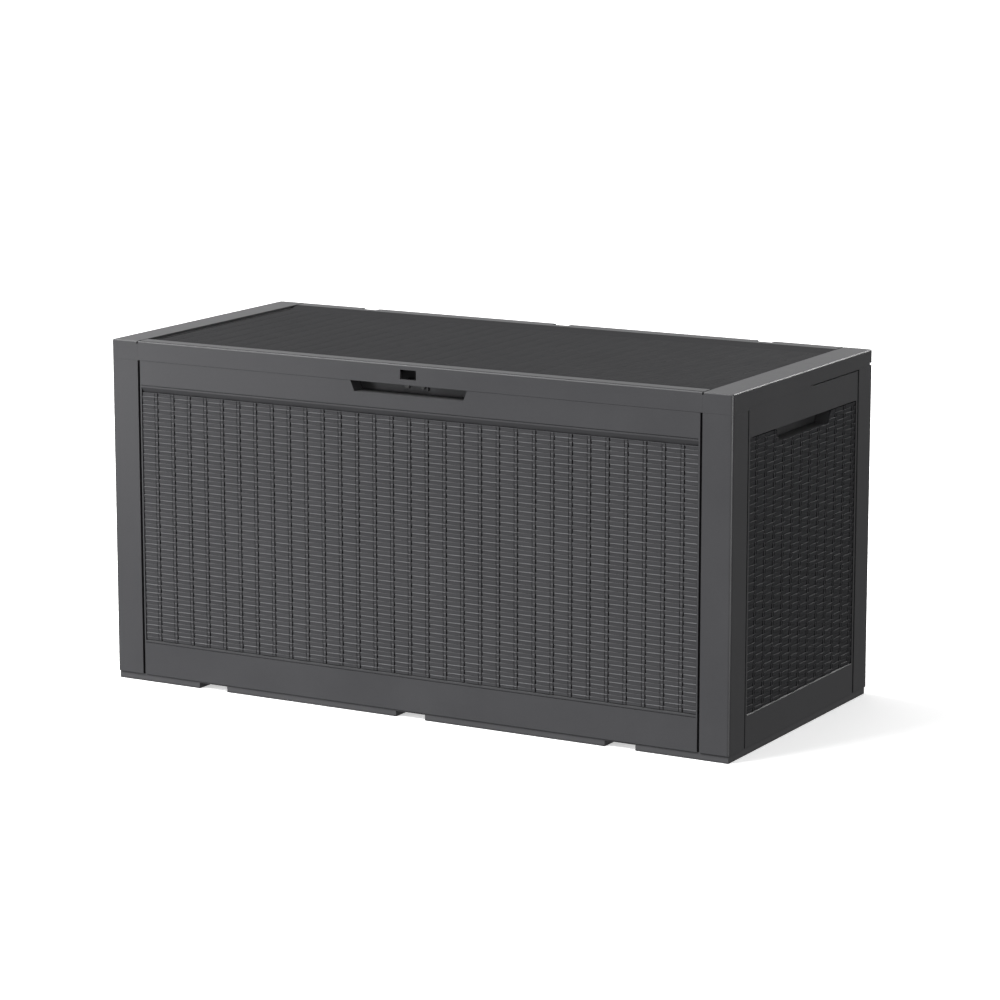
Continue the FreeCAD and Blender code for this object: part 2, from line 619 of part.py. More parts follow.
def hinges():
    bracket_screws = []
    leaf_screws = []
    for name, place in HINGE_PLACES:
        hinge(name, place)
        for side, s in SIDES:
            x = place + s * D.screw_spread / 2
            bracket_screws.append(screw("%s_bracket_screw_%s" % (name, side), "Y", 1,
                                        (x, BRACKET_SCREW_Z), INNER_Y - D.bracket_thickness,
                                        D.screw_bite))
            leaf_screws.append(screw("%s_leaf_screw_%s" % (name, side), "Z", 1, (x, LEAF_SCREW_Y),
                                     FIELD_UNDER - D.bracket_thickness, D.leaf_screw_bite))
    group("hinge_bracket_screws", bracket_screws)
    group("hinge_leaf_screws", leaf_screws)


# ---- lid stays ------------------------------------------------------------------------------

def stay(name, sign):
    """A slotted arm hung from the lid that slides on a stud in the end wall."""
    low = ARM_X - D.arm_thickness / 2
    high = ARM_X + D.arm_thickness / 2
    half = D.arm_width / 2
    hole = D.stud_radius + D.running_gap
    label = name + "_stay_arm"
    tip = SLOT_FAR + D.slot_end_gap
    arm_x = sided(sign, low, high)
    near = SLOT_NEAR - D.slot_end_gap
    solid = fuse(label + "_solid", [
        block(label + "_bar", arm_x, (Size.of(0), tip), (-half, half)),
        rod(label + "_heel", "X", (Size.of(0), Size.of(0)), half, *arm_x),
        rod(label + "_toe", "X", (tip, Size.of(0)), half, *arm_x)])
    wide_x = (arm_x[0] - OVER, arm_x[1] + OVER)
    openings = fuse(label + "_openings", [
        block(label + "_slot", wide_x, (near, tip), (-hole, hole)),
        rod(label + "_slot_near", "X", (near, Size.of(0)), hole, *wide_x),
        rod(label + "_slot_far", "X", (tip, Size.of(0)), hole, *wide_x),
        rod(label + "_eye", "X", (Size.of(0), Size.of(0)), hole, *wide_x)])
    arm = node(cut(label, solid, openings), label)
    arm.Placement = FreeCAD.Placement(FreeCAD.Vector(), FreeCAD.Rotation(FreeCAD.Vector(1, 0, 0), 90))
    bind(arm, ".Placement.Base.y", PIVOT_Y)
    bind(arm, ".Placement.Base.z", PIVOT_Z)
    bind(arm, ".Placement.Rotation.Angle", ARM_TILT)

    label = name + "_stay_bracket"
    bracket = new_body(label)
    ear_low = low - D.arm_side_gap - D.ear_thickness
    ear_high = high + D.arm_side_gap + D.ear_thickness
    add(bracket, "X", *sided(sign, ear_low, ear_high),
        [rectangle(PIVOT_Y - D.ear_half, PIVOT_Y + D.ear_half, PIVOT_Z - D.ear_drop, PLATE_Z)])
    bridge = PIVOT_Z + half + D.arm_side_gap / 2
    room_y = (PIVOT_Y - D.ear_half - OVER, PIVOT_Y + D.ear_half + OVER)
    take(bracket, "X", *sided(sign, low - D.arm_side_gap, high + D.arm_side_gap),
         [rectangle(*room_y, PIVOT_Z - D.ear_drop - OVER, bridge)])
    take(bracket, "X", *sided(sign, ear_low - OVER, ear_high + OVER), circles=[((PIVOT_Y, PIVOT_Z), hole)])

    label = name + "_stay_pivot_pin"
    pin_x = sided(sign, ear_low, ear_high + D.pivot_head)
    head_in = sided(sign, ear_low - D.pivot_head, ear_low)
    head_out = sided(sign, ear_high, ear_high + D.pivot_head)
    node(fuse(label, [rod(label + "_shank", "X", (PIVOT_Y, PIVOT_Z), D.stud_radius, *pin_x),
                      rod(label + "_inner_head", "X", (PIVOT_Y, PIVOT_Z), D.pivot_head_radius, *head_in),
                      rod(label + "_outer_head", "X", (PIVOT_Y, PIVOT_Z), D.pivot_head_radius, *head_out)]),
         label)

    label = name + "_stay_stud"
    stud_in = low - D.arm_side_gap
    node(fuse(label, [
        rod(label + "_flange", "X", (STUD_Y, STUD_Z), D.stud_flange_radius,
            *sided(sign, INNER_X - D.stud_flange, INNER_X)),
        rod(label + "_shank", "X", (STUD_Y, STUD_Z), D.stud_radius, *sided(sign, stud_in, INNER_X - OVER)),
        rod(label + "_head", "X", (STUD_Y, STUD_Z), D.stud_head_radius,
            *sided(sign, stud_in - D.stud_head, stud_in))]), label)


# ---- padlock tab ----------------------------------------------------------------------------

def padlock_tab():
    """A flat tab behind the lid's window, drilled for a shackle and screwed into the grip slot."""
    body = new_body("padlock_tab")
    front = -(HALF_Y - D.skin - D.tab_gap)
    back = GRIP_BACK
    add(body, "Y", front, back, [rectangle(-D.tab_half, D.tab_half, TAB_TOP - D.tab_thickness, TAB_TOP)])
    plate_top = TAB_TOP + D.tab_plate_rise
    add(body, "Y", back - D.tab_plate_thickness, back,
        [rectangle(-D.tab_plate_half, D.tab_plate_half, plate_top - D.tab_plate_height, plate_top)])
    hole_y = front + D.padlock_hole_place + D.padlock_hole_radius
    take(body, "Z", TAB_TOP - D.tab_thickness - OVER, TAB_TOP + OVER,
         circles=[((Size.of(0), hole_y), D.padlock_hole_radius)])
    holes = [((s * D.tab_screw_spread / 2, TAB_SCREW_Z), D.screw_radius + D.running_gap)
             for _, s in SIDES]
    take(body, "Y", back - D.tab_plate_thickness - OVER, back + OVER, circles=holes)
    screws = [screw("padlock_tab_screw_" + side, "Y", 1,
                    (s * D.tab_screw_spread / 2, TAB_SCREW_Z),
                    back - D.tab_plate_thickness, D.tab_screw_bite) for side, s in SIDES]
    group("padlock_tab_screws", screws)


def build():
    front_wall()
    rear_wall()
    for name, sign in SIDES:
        side_wall(name, sign)
        corner_post("front_" + name, sign, -1, BODY_TOP)
        corner_post("rear_" + name, sign, 1, REAR_TOP)
        lid_end(name, sign)
        stay(name, sign)
    floor()
    lid_middle()
    lid_tubes()
    hinges()
    padlock_tab()


def write():
    """Check the whole document, then write one file for each sub-part."""
    DOC.recompute()
    for thing in DOC.Objects:
        if "Invalid" in thing.State or "Error" in thing.State:
            raise RuntimeError("%s did not compute: %s" % (thing.Label, thing.State))
    for part in NODES:
        if part.Shape.isNull() or not part.Shape.isValid():
            raise RuntimeError("%s has no valid shape" % part.Label)
    os.makedirs("parts", exist_ok=True)
    for part in NODES:
        part.Shape.exportStep(os.path.join("parts", part.Label + ".step"))
        print("%-24s %2d solid(s) %10.0f mm3" % (part.Label, len(part.Shape.Solids), part.Shape.Volume))


build()
write()
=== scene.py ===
"""Deck storage box: looks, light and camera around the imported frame.

Every piece is in metres in the row frame: +X right, +Y to the rear, +Z up, front at -Y.
"""
import logging
import math
from dataclasses import dataclass
from enum import Enum
from typing import Any, Optional

import bmesh
import bpy
import numpy as np
from mathutils import Euler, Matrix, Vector


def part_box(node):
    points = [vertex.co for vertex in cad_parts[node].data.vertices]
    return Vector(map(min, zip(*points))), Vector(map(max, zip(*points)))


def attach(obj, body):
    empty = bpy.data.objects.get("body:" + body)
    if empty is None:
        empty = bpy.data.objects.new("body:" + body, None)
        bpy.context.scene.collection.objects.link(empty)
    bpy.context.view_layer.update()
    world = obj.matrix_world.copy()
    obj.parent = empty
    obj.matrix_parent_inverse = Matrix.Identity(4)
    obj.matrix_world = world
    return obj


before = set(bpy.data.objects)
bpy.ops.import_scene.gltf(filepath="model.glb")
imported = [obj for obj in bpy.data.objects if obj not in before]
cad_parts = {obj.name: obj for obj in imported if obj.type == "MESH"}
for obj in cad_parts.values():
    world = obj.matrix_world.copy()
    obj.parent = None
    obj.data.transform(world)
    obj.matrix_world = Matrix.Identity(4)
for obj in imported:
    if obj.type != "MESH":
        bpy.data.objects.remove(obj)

LOG = logging.getLogger("deck_box")
MM = 0.001
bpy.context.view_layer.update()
WHITE = (1.0, 1.0, 1.0, 1.0)
# near black used for painted shade in creases, gaps and recesses
PAINTED_SHADE_BLACK = (0.003, 0.003, 0.003, 1.0)
NEAR_COLUMNS = 16


def linear(hex_colour: str) -> tuple[float, float, float, float]:
    """Turn an sRGB hex colour into linear RGBA.

    Args:
        hex_colour: six hex digits, such as "5b5c60".

    Returns:
        Linear red, green and blue, with alpha 1.
    """
    channels = [int(hex_colour[i:i + 2], 16) / 255 for i in (0, 2, 4)]
    values = [c / 12.92 if c <= 0.04045 else ((c + 0.055) / 1.055) ** 2.4 for c in channels]
    return (values[0], values[1], values[2], 1.0)


def add_node(tree: bpy.types.NodeTree, kind: str, settings: Optional[dict[str, Any]] = None,
             links: Optional[dict[Any, Any]] = None, **values: Any) -> bpy.types.Node:
    """Add one shader node.

    Args:
        tree: the node tree that gets the node.
        kind: Blender's name of the node type.
        settings: properties of the node itself.
        links: input name or number to the output socket that feeds it.
        **values: constant inputs, with underscores for the spaces in their names.

    Returns:
        The new node.
    """
    node = tree.nodes.new(kind)
    for name, value in (settings or {}).items():
        setattr(node, name, value)
    for name, value in values.items():
        node.inputs[name.replace("_", " ")].default_value = value
    for name, socket in (links or {}).items():
        tree.links.new(socket, node.inputs[name])
    return node


def mix(tree: bpy.types.NodeTree, factor: bpy.types.NodeSocket, first: Any,
        second: Any) -> bpy.types.NodeSocket:
    """Blend two colours.

    Args:
        tree: the node tree that gets the node.
        factor: how much of the second colour is used.
        first: a constant colour or a socket.
        second: the same.

    Returns:
        The blended colour's socket.
    """
    blend = add_node(tree, "ShaderNodeMix", {"data_type": "RGBA"}, {0: factor})
    for number, value in ((6, first), (7, second)):
        if isinstance(value, bpy.types.NodeSocket):
            tree.links.new(value, blend.inputs[number])
        else:
            blend.inputs[number].default_value = value
    return blend.outputs[2]


def bare_material(name: str) -> tuple[bpy.types.Material, bpy.types.NodeTree, bpy.types.Node,
                                      bpy.types.NodeSocket]:
    """Start a material.

    Args:
        name: the plastic or metal and how it is made.

    Returns:
        The material, its node tree, its shader and the socket of the place on the piece.
    """
    material = bpy.data.materials.new(name)
    material.use_nodes = True
    tree = material.node_tree
    place = add_node(tree, "ShaderNodeTexCoord").outputs["Object"]
    return material, tree, tree.nodes["Principled BSDF"], place


# ---- finishes -------------------------------------------------------------------------------

@dataclass(frozen=True)
class MouldedPolypropylene:
    """Injection-moulded, mass-coloured polypropylene with a spark-eroded skin.

    The mould's fine grain breaks reflections into a soft satin, and slow drifts of tone come from
    the way the pigment flows. Faces that look up are painted lighter as painted top light, and
    hollows are painted darker and less glossy as painted shade.
    """

    name: str
    colour: str
    drift_colour: str
    # lighter tint for faces that look up: painted top light
    painted_top_light_colour: str
    roughness: float = 0.42
    gloss: float = 0.14
    grain_mm: float = 0.9
    grain_height_mm: float = 0.03
    flow_mm: float = 160.0
    edge_round_mm: float = 0.2
    # reach and darkest level of the painted shade in hollows
    crevice_mm: float = 5.0
    crevice_floor: float = 0.25
    polish: float = 0.05
    scuffing: float = 0.07
    refraction: float = 1.49

    def build(self) -> bpy.types.Material:
        """Make the material."""
        material, tree, shader, place = bare_material(self.name)
        flow = add_node(tree, "ShaderNodeTexNoise", links={"Vector": place},
                        Scale=1 / (self.flow_mm * MM), Detail=4.0, Roughness=0.6)
        fleck = add_node(tree, "ShaderNodeTexNoise", links={"Vector": place},
                         Scale=1 / (3 * self.grain_mm * MM), Detail=3.0, Roughness=0.7)
        blend = add_node(tree, "ShaderNodeMath", {"operation": "MULTIPLY_ADD"},
                         {0: fleck.outputs["Fac"], 2: flow.outputs["Fac"]})
        blend.inputs[1].default_value = 0.5
        tone = add_node(tree, "ShaderNodeMapRange", links={"Value": blend.outputs[0]},
                        From_Min=0.5, From_Max=1.0)
        colour = mix(tree, tone.outputs[0], linear(self.colour), linear(self.drift_colour))
        facing = add_node(tree, "ShaderNodeSeparateXYZ",
                          links={0: add_node(tree, "ShaderNodeNewGeometry").outputs["Normal"]})
        # painted top light: faces that look up are blended towards the lighter colour, standing in for
        # light from above
        top_light_mask = add_node(tree, "ShaderNodeMapRange", {"interpolation_type": "SMOOTHSTEP"},
                           {"Value": facing.outputs["Z"]}, From_Min=0.2, From_Max=0.8)
        top_lit_colour = mix(tree, top_light_mask.outputs[0], colour, linear(self.painted_top_light_colour))
        # painted shade: ambient occlusion darkens the colour towards near black in creases, gaps and
        # recesses
        hollow = add_node(tree, "ShaderNodeAmbientOcclusion", {"samples": 8},
                          Distance=self.crevice_mm * MM)
        shade = add_node(tree, "ShaderNodeMapRange", links={"Value": hollow.outputs["AO"]},
                         From_Min=0.1, From_Max=0.95, To_Min=self.crevice_floor)
        painted_shade_colour = mix(tree, shade.outputs[0], PAINTED_SHADE_BLACK, top_lit_colour)
        tree.links.new(painted_shade_colour, shader.inputs["Base Color"])
        # painted shade on the gloss: the specular level drops in the same hollows
        shine = add_node(tree, "ShaderNodeMapRange", links={"Value": hollow.outputs["AO"]},
                         From_Min=0.2, From_Max=0.9, To_Max=self.gloss)
        tree.links.new(shine.outputs[0], shader.inputs["Specular IOR Level"])
        scuff = add_node(tree, "ShaderNodeMapRange", links={"Value": flow.outputs["Fac"]},
                         From_Min=0.3, From_Max=0.7, To_Min=self.roughness - self.polish,
                         To_Max=self.roughness + self.scuffing)
        tree.links.new(scuff.outputs[0], shader.inputs["Roughness"])
        rounded = add_node(tree, "ShaderNodeBevel", {"samples": 6}, Radius=self.edge_round_mm * MM)
        grain = add_node(tree, "ShaderNodeTexNoise", links={"Vector": place},
                         Scale=1 / (self.grain_mm * MM), Detail=2.0, Roughness=0.6)
        bump = add_node(tree, "ShaderNodeBump", links={"Height": grain.outputs["Fac"],
                                                       "Normal": rounded.outputs[0]},
                        Strength=0.6, Distance=self.grain_height_mm * MM)
        tree.links.new(bump.outputs[0], shader.inputs["Normal"])
        shader.inputs["IOR"].default_value = self.refraction
        return material


@dataclass(frozen=True)
class MouldedNylon:
    """Glass-filled nylon, moulded: near black, satin, with short pale fibres just under the skin."""

    name: str
    colour: str
    fibre_colour: str
    roughness: float = 0.45
    fibre_mm: float = 1.2
    fibre_height_mm: float = 0.03
    refraction: float = 1.53

    def build(self) -> bpy.types.Material:
        """Make the material."""
        material, tree, shader, place = bare_material(self.name)
        stretched = add_node(tree, "ShaderNodeMapping", links={"Vector": place}, Scale=(1.0, 1.0, 0.25))
        fibre = add_node(tree, "ShaderNodeTexNoise", links={"Vector": stretched.outputs[0]},
                         Scale=1 / (self.fibre_mm * MM), Detail=5.0, Roughness=0.75)
        tone = add_node(tree, "ShaderNodeMapRange", links={"Value": fibre.outputs["Fac"]},
                        From_Min=0.45, From_Max=0.8)
        colour = mix(tree, tone.outputs[0], linear(self.colour), linear(self.fibre_colour))
        tree.links.new(colour, shader.inputs["Base Color"])
        bump = add_node(tree, "ShaderNodeBump", links={"Height": fibre.outputs["Fac"]},
                        Strength=0.4, Distance=self.fibre_height_mm * MM)
        tree.links.new(bump.outputs[0], shader.inputs["Normal"])
        shader.inputs["Roughness"].default_value = self.roughness
        shader.inputs["IOR"].default_value = self.refraction
        return material


@dataclass(frozen=True)
class ZincPlatedSteel:
    """Bright zinc-plated steel: a satin metal with faint bluish blooms."""

    name: str
    colour: str
    bloom_colour: str
    roughness: float = 0.3
    bloom_mm: float = 4.0
    polish: float = 0.06
    haze: float = 0.12

    def build(self) -> bpy.types.Material:
        """Make the material."""
        material, tree, shader, place = bare_material(self.name)
        bloom = add_node(tree, "ShaderNodeTexNoise", links={"Vector": place},
                         Scale=1 / (self.bloom_mm * MM), Detail=3.0)
        colour = mix(tree, bloom.outputs["Fac"], linear(self.colour), linear(self.bloom_colour))
        tree.links.new(colour, shader.inputs["Base Color"])
        satin = add_node(tree, "ShaderNodeMapRange", links={"Value": bloom.outputs["Fac"]},
                         To_Min=self.roughness - self.polish, To_Max=self.roughness + self.haze)
        tree.links.new(satin.outputs[0], shader.inputs["Roughness"])
        shader.inputs["Metallic"].default_value = 1.0
        return material


@dataclass(frozen=True)
class PowderCoatedSteel:
    """Black polyester powder on steel tube: a low orange-peel ripple under a satin gloss."""

    name: str
    colour: str
    peel_colour: str
    roughness: float = 0.38
    peel_mm: float = 2.2
    peel_height_mm: float = 0.05

    def build(self) -> bpy.types.Material:
        """Make the material."""
        material, tree, shader, place = bare_material(self.name)
        peel = add_node(tree, "ShaderNodeTexNoise", links={"Vector": place},
                        Scale=1 / (self.peel_mm * MM), Detail=1.0)
        colour = mix(tree, peel.outputs["Fac"], linear(self.colour), linear(self.peel_colour))
        tree.links.new(colour, shader.inputs["Base Color"])
        bump = add_node(tree, "ShaderNodeBump", links={"Height": peel.outputs["Fac"]},
                        Strength=0.5, Distance=self.peel_height_mm * MM)
        tree.links.new(bump.outputs[0], shader.inputs["Normal"])
        shader.inputs["Roughness"].default_value = self.roughness
        return material


# ---- the woven relief -----------------------------------------------------------------------

class Side(Enum):
    """Which way a woven field faces: (direction of its strands, direction across them)."""

    FRONT = (Vector((1, 0, 0)), Vector((0, 0, 1)))
    REAR = (Vector((-1, 0, 0)), Vector((0, 0, 1)))
    RIGHT = (Vector((0, 1, 0)), Vector((0, 0, 1)))
    LEFT = (Vector((0, -1, 0)), Vector((0, 0, 1)))
    TOP = (Vector((1, 0, 0)), Vector((0, 1, 0)))

    @property
    def along(self) -> Vector:
        """The way the strands run."""
        return self.value[0]

    @property
    def across(self) -> Vector:
        """The way the rows stack."""
        return self.value[1]

    @property
    def outward(self) -> Vector:
        """The way the field faces."""
        return self.value[0].cross(self.value[1])


@dataclass(frozen=True)
class Weave:
    """The moulded basket weave: flat strands that pass over one stake and under the next.

    Lengths are in millimetres. Levels are heights over the recessed plate. Each strand leans
    forward to a thin ledge along its upper edge, and each column starts with a row of pits.
    Shoulders are the short slopes between two levels.
    """

    column: float = 34.0
    row: float = 7.25
    front_level: float = 3.75
    back_level: float = 2.5
    stake_level: float = 3.2
    gap_level: float = 1.6
    pit_level: float = 1.2
    pit_width: float = 1.6
    rise: float = 0.9
    crest: float = 18.0
    stake_start: float = 29.3
    stake_gap: float = 1.1
    shoulder: float = 0.35
    gap_shoulder: float = 0.4
    column_end: float = 0.5
    end_dip: float = 0.6
    emerging_dip: float = 0.5
    front_gap_dip: float = 0.7
    stake_dip: float = 0.4
    ledge: float = 1.2
    ledge_shoulder: float = 0.45
    row_start: float = 0.3
    row_end: float = 0.25
    flank: float = 0.45
    lean: float = 0.9
    back_lean: float = 0.45
    lip: float = 0.1
    ledge_drop: float = 1.9
    back_ledge_drop: float = 0.55

    def lines_along(self) -> list[float]:
        """Places along one column where the height is sampled."""
        start = self.pit_width + self.rise
        gap = self.stake_start - self.stake_gap
        return [0.0, self.shoulder, self.pit_width, start, self.crest / 2, self.crest,
                gap - self.gap_shoulder, gap, self.stake_start - self.shoulder, self.stake_start,
                self.column - self.column_end]

    def lines_across(self) -> list[float]:
        """Places across one row where the height is sampled."""
        edge = self.row - self.ledge
        return [0.0, self.row_start, self.row * self.flank, edge - self.ledge_shoulder, edge,
                self.row - self.row_end]

    def level(self, place: np.ndarray, over: np.ndarray) -> np.ndarray:
        """Height of the strand's face along one column.

        Args:
            place: distance from the column's left edge.
            over: 1 where the strand passes in front in this column, 0 where it passes behind.

        Returns:
            The height over the plate, before the strand's own rounding.
        """
        start = self.pit_width + self.rise
        gap = self.stake_start - self.stake_gap
        knots = [0, self.shoulder, self.pit_width, start, self.crest, gap - self.gap_shoulder, gap,
                 self.stake_start - self.shoulder, self.stake_start, self.column - self.column_end,
                 self.column]
        front = self.front_level
        end = front - self.end_dip
        low = front - self.front_gap_dip
        emerge = np.interp(place, knots, [end, self.pit_level, self.pit_level,
                                          front - self.emerging_dip, front, front, low, low, front,
                                          front, end])
        back = self.back_level
        dip = (self.gap_level + back) / 2
        stake = self.stake_level
        end = stake - self.stake_dip
        sink = np.interp(place, knots, [end, dip, dip, back, back, back, self.gap_level,
                                        self.gap_level, stake, stake, end])
        return np.where(over > 0.5, emerge, sink)

    def rounding(self, place: np.ndarray, over: np.ndarray) -> np.ndarray:
        """How far the strand's face falls away across its width.

        Args:
            place: distance from the row's lower edge.
            over: 1 where the strand passes in front in this column, 0 where it passes behind.

        Returns:
            The drop from the strand's highest line.
        """
        edge = self.row - self.ledge
        knots = [0, self.row * self.flank, edge - self.ledge_shoulder, edge, self.row - self.row_end,
                 self.row]
        front = np.interp(place, knots, [self.lean, self.lean / 2, 0.0, self.lip, self.ledge_drop,
                                         self.ledge_drop])
        back = np.interp(place, knots, [self.back_lean, self.back_lean / 2, 0.0, self.lip / 2,
                                        self.back_ledge_drop, self.back_ledge_drop])
        return np.where(over > 0.5, front, back)


@dataclass
class WovenField:
    """One stretch of woven relief, seated on a recessed plate.

    Phases say how far into a column and a row the piece's corner lies, cut_start and cut_end how
    far its two ends lean inwards by its upper edge, and fade how softly it meets its frame. Lengths
    are in metres, but phases, fade and the fields after weave are in millimetres.
    """

    name: str
    side: Side
    corner: Vector
    length: float
    width: float
    phase_along: float = 0.0
    phase_across: float = 0.0
    relief: float = 1.0
    cut_start: float = 0.0
    cut_end: float = 0.0
    fade: float = 0.0
    weave: Weave = Weave()
    closest: float = 0.15
    least: float = 0.1
    least_faded: float = 0.06
    end_fade_lead: float = 2.0

    def steps(self, size: float, pitch: float, phase: float, lines: list[float]) -> np.ndarray:
        """All the sample lines in one direction, in millimetres, with both ends."""
        first = int(phase // pitch)
        count = int((size + phase) / pitch) + 1
        places = np.array([i * pitch + line - phase for i in range(first, count) for line in lines])
        inside = places[(places > self.closest) & (places < size - self.closest)]
        return np.concatenate([[0.0], inside, [size]])

    def heights(self, u: np.ndarray, v: np.ndarray) -> np.ndarray:
        """Relief over the plate on the grid of u and v, in millimetres."""
        weave = self.weave
        column = np.floor((u + self.phase_along) / weave.column + 1e-6)
        row = np.floor((v + self.phase_across) / weave.row + 1e-6)
        along = u + self.phase_along - column * weave.column
        across = v + self.phase_across - row * weave.row
        over = (column[:, None] + row[None, :]) % 2
        level = weave.level(np.repeat(along[:, None], len(v), 1), over)
        drop = weave.rounding(np.repeat(across[None, :], len(u), 0), over)
        height = np.maximum(level - drop, self.least) * self.relief
        if self.fade > 0:
            border = np.minimum(np.minimum(u, u[-1] - u)[:, None] + self.end_fade_lead,
                                np.minimum(v, v[-1] - v)[None, :])
            height = np.maximum(height * np.clip(border / self.fade, 0.0, 1.0), self.least_faded)
        return height

    def build(self, body: str, slot: str, material: bpy.types.Material) -> bpy.types.Object:
        """Make the closed relief piece.

        Args:
            body: the CAD body it rides on.
            slot: the record's material slot; not used.
            material: its finish.

        Returns:
            The new object.
        """
        u = self.steps(self.length / MM, self.weave.column, self.phase_along, self.weave.lines_along())
        v = self.steps(self.width / MM, self.weave.row, self.phase_across, self.weave.lines_across())
        height = self.heights(u, v)
        share = v[None, :] / v[-1]
        bent = np.clip(np.repeat(u[:, None], len(v), 1), self.cut_start / MM * share,
                       u[-1] - self.cut_end / MM * share)
        along, across, outward = (np.array(d) for d in (self.side.along, self.side.across,
                                                       self.side.outward))
        grid = (np.array(self.corner)[None, None, :]
                + bent[:, :, None] * MM * along + v[None, :, None] * MM * across
                + height[:, :, None] * MM * outward)
        rows, columns = len(u), len(v)
        index = np.arange(rows * columns).reshape(rows, columns)
        quads = np.stack([index[:-1, :-1], index[1:, :-1], index[1:, 1:], index[:-1, 1:]], -1)
        rim = np.concatenate([index[:-1, 0], index[-1, :-1], index[:0:-1, -1], index[0, :0:-1]])
        flat = grid.reshape(-1, 3)
        lift = (flat[rim] - np.array(self.corner)) @ outward
        back = flat[rim] - lift[:, None] * outward
        count = len(flat)
        following = np.roll(np.arange(len(rim)), -1)
        walls = np.stack([rim, count + np.arange(len(rim)), count + following, rim[following]], -1)
        faces = quads.reshape(-1, 4).tolist() + walls.tolist()
        faces.append([count + i for i in range(len(rim) - 1, -1, -1)])
        mesh = bpy.data.meshes.new(self.name)
        mesh.from_pydata(np.concatenate([flat, back]).tolist(), [], faces)
        if self.cut_start or self.cut_end:
            self.weld(mesh)
        mesh.update()
        piece = bpy.data.objects.new(self.name, mesh)
        bpy.context.scene.collection.objects.link(piece)
        mesh.materials.append(material)
        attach(piece, body)
        LOG.info("%s: %d faces on %s", self.name, len(mesh.polygons), body)
        return piece

    @staticmethod
    def weld(mesh: bpy.types.Mesh) -> None:
        """Close the faces that a leaning end has squeezed to nothing."""
        shape = bmesh.new()
        shape.from_mesh(mesh)
        bmesh.ops.remove_doubles(shape, verts=shape.verts[:], dist=1e-6)
        bmesh.ops.dissolve_degenerate(shape, edges=shape.edges[:], dist=1e-6)
        shape.to_mesh(mesh)
        shape.free()


def dress(names: list[str], material: bpy.types.Material) -> None:
    """Give CAD nodes their finish.

    Args:
        names: the nodes.
        material: the finish of them all.
    """
    for name in names:
        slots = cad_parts[name].data.materials
        slots.clear()
        slots.append(material)
        LOG.info("%s: %s", name, material.name)


# ---- sub-assemblies -------------------------------------------------------------------------

@dataclass
class Walls:
    """The four wall panels with their woven fields."""

    finish: bpy.types.Material
    woven: bpy.types.Material
    end_woven: bpy.types.Material
    field_depth: float = 4 * MM
    field_clear: float = 0.15 * MM
    long_field_half: float = 539.0 * MM
    long_field_low: float = 76 * MM
    long_field_high: float = 516 * MM
    end_field_half: float = 206.9 * MM
    hold_half_top: float = 106.5 * MM
    hold_half_low: float = 96.3 * MM
    hold_low: float = 502.6 * MM
    phase_along: float = 2.2 * MM
    phase_across: float = 1.0 * MM
    end_phase: float = 4.4 * MM
    end_field_low: float = 69 * MM
    end_field_high: float = 524 * MM

    def build(self) -> None:
        """Dress the panels and seat the relief."""
        dress(["front_panel", "rear_panel", "left_side_panel", "right_side_panel"], self.finish)
        self.long_fields("front", Side.FRONT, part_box("front_panel")[0].y + self.field_depth)
        self.long_fields("rear", Side.REAR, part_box("rear_panel")[1].y - self.field_depth)
        self.end_field("right", Side.RIGHT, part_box("right_side_panel")[1].x - self.field_depth)
        self.end_field("left", Side.LEFT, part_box("left_side_panel")[0].x + self.field_depth)

    def long_fields(self, name: str, side: Side, plane: float) -> None:
        """The front or rear field, made as two halves that meet on a column's edge."""
        half = self.long_field_half - self.field_clear
        split = NEAR_COLUMNS * Weave().column * MM - self.phase_along
        low = self.long_field_low + self.field_clear
        width = self.long_field_high - self.field_clear - low
        start = Vector((-half * side.along.x, plane, low))
        row_phase = self.phase_across / MM
        WovenField(name + "_weave_near", side, start, split, width, self.phase_along / MM,
                   row_phase).build("box", "wall_polypropylene", self.woven)
        WovenField(name + "_weave_far", side, start + split * side.along, 2 * half - split, width, 0.0,
                   row_phase).build("box", "wall_polypropylene", self.woven)

    def end_field(self, name: str, side: Side, plane: float) -> None:
        """The field of one end wall: a stretch under the hand hold and one on each side of it."""
        half = self.end_field_half - self.field_clear
        low = self.end_field_low + self.field_clear
        middle = self.hold_low - self.field_clear
        high = self.end_field_high - self.field_clear
        reach = half - self.hold_half_low - self.field_clear
        lean = self.hold_half_top - self.hold_half_low
        along = side.along.y
        phase = self.phase_across / MM
        slot = "wall_polypropylene"
        start = Vector((plane, -half * along, low))
        WovenField(name + "_weave", side, start, 2 * half, middle - low, self.end_phase / MM,
                   phase).build("box", slot, self.end_woven)
        upper_phase = phase + (middle - low) / MM
        start.z = middle
        WovenField(name + "_weave_by_hold_near", side, start, reach, high - middle, self.end_phase / MM,
                   upper_phase, cut_end=lean).build("box", slot, self.end_woven)
        far = 2 * half - reach
        start = Vector((plane, (far - half) * along, middle))
        WovenField(name + "_weave_by_hold_far", side, start, reach, high - middle,
                   (self.end_phase + far) / MM, upper_phase,
                   cut_start=lean).build("box", slot, self.end_woven)


@dataclass
class Posts:
    """The four corner posts and the floor tray under them."""

    finish: bpy.types.Material
    floor_finish: bpy.types.Material

    def build(self) -> None:
        """Dress the posts and the floor."""
        names = ["%s_%s_post" % (depth, side) for depth in ("front", "rear") for side in ("left", "right")]
        dress(names, self.finish)
        dress(["floor_panel"], self.floor_finish)


